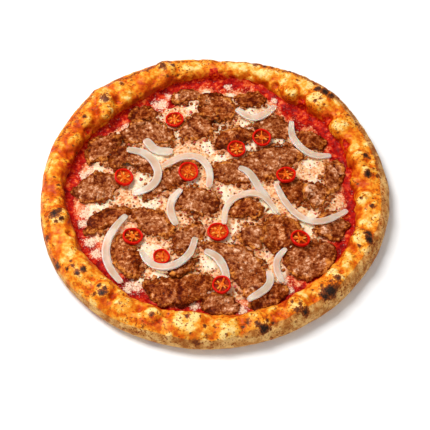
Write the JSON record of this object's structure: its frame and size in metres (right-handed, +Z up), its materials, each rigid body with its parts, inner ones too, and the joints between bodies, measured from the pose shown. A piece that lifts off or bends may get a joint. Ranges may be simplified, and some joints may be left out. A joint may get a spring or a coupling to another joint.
{
  "type": "kebab pizza",
  "caption": "Round baked pizza with a raised, blistered rim, tomato sauce, melted cheese, slices of kebab meat, arcs of onion and rings of red chilli.",
  "frame": {"origin": "centre of the underside, on the surface the pizza rests on", "axes": "+Z up through the toppings, +X to the right and +Y to the far side as the pizza is seen from its front"},
  "size_m": [0.2962, 0.2924, 0.0231],
  "materials": {
    "crust": "matt baked dough, golden with brown and black spots, floured outside",
    "sauce": "wet, glossy red tomato sauce",
    "cheese": "satin melted cheese, cream with orange oil",
    "meat": "grainy grilled meat with a slight oily sheen",
    "onion": "moist, translucent white onion",
    "chilli": "glossy red chilli with an orange seeded middle"
  },
  "bodies": {
    "root": {"crust": "crust", "sauce": "sauce", "cheese": "cheese", "meat_01": "meat", "meat_02": "meat", "meat_03": "meat", "meat_04": "meat", "meat_05": "meat", "meat_06": "meat", "meat_07": "meat", "meat_08": "meat", "meat_09": "meat", "meat_10": "meat", "meat_11": "meat", "meat_12": "meat", "meat_13": "meat", "meat_14": "meat", "meat_15": "meat", "meat_16": "meat", "meat_17": "meat", "meat_18": "meat", "meat_19": "meat", "meat_20": "meat", "meat_21": "meat", "meat_22": "meat", "meat_23": "meat", "meat_24": "meat", "meat_25": "meat", "meat_26": "meat", "meat_27": "meat", "meat_28": "meat", "meat_29": "meat", "meat_30": "meat", "meat_31": "meat", "meat_32": "meat", "onion_01": "onion", "onion_02": "onion", "onion_03": "onion", "onion_04": "onion", "onion_05": "onion", "onion_06": "onion", "onion_07": "onion", "onion_08": "onion", "onion_09": "onion", "onion_10": "onion", "onion_11": "onion", "onion_12": "onion", "onion_13": "onion", "onion_14": "onion", "chilli_01": "chilli", "chilli_02": "chilli", "chilli_03": "chilli", "chilli_04": "chilli", "chilli_05": "chilli", "chilli_06": "chilli", "chilli_07": "chilli", "chilli_08": "chilli", "chilli_09": "chilli", "chilli_10": "chilli", "chilli_11": "chilli"}
  },
  "joints": []
}
